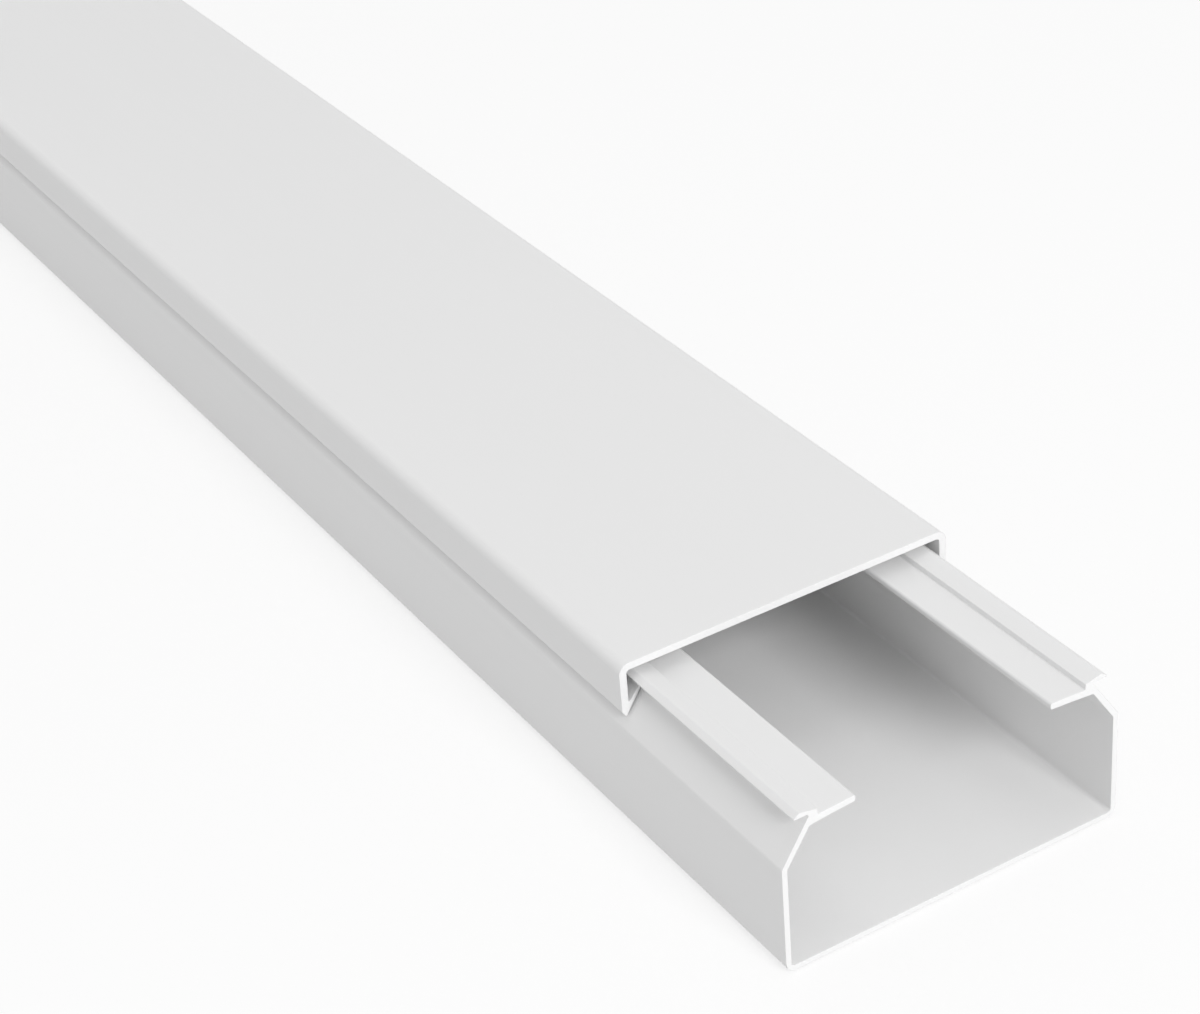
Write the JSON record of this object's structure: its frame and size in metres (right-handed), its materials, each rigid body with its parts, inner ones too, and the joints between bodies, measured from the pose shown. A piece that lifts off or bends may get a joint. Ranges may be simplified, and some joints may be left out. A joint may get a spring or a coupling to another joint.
{
  "type": "cord cover raceway",
  "caption": "Surface-mount cable raceway: open channel with lipped mouth and a clip-on cover that slides along it.",
  "frame": {"origin": "middle of the channel's underside, where it lies against the wall or floor", "axes": "+X along the length towards the open end that shows past the cover, +Y across, +Z away from the wall"},
  "size_m": [1.041, 0.06, 0.03],
  "materials": {
    "base_channel": "satin white rigid PVC, extruded",
    "cover": "satin white rigid PVC, extruded"
  },
  "bodies": {
    "channel": {"base_channel": "base_channel"},
    "cover": {"cover": "cover"}
  },
  "joints": [
    {"name": "cover_slide", "type": "slide", "parent": "channel", "child": "cover", "axis": [1, 0, 0], "range_m": [-0.459, 0.041]}
  ]
}
